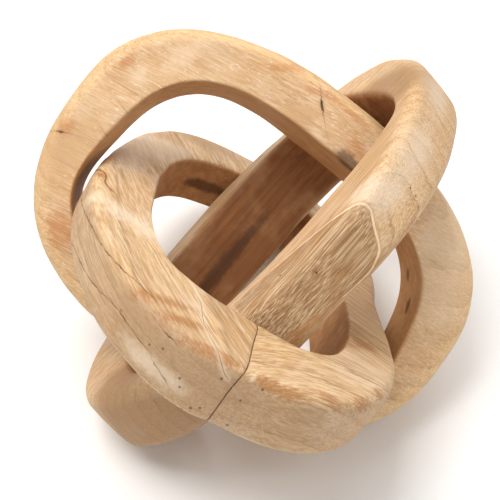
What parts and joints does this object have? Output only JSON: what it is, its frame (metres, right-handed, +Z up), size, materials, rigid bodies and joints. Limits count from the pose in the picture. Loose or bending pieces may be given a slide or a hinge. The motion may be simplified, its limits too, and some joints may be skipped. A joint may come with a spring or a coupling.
{
  "type": "wooden chain",
  "caption": "Closed chain of carved oval wooden links, each passing through the others, that lies loose as a table ornament.",
  "frame": {"origin": "middle of the footprint's bounding box, on the surface the chain lies on", "axes": "+Z up, -Y towards the viewer who sees the front link's band across the lower front"},
  "size_m": [0.1187, 0.1319, 0.0865],
  "materials": {
    "carved_wood": "bare sanded hardwood, matt, with open grain"
  },
  "bodies": {
    "root": {"upper_link": "carved_wood", "long_link": "carved_wood", "front_link": "carved_wood"}
  },
  "joints": []
}
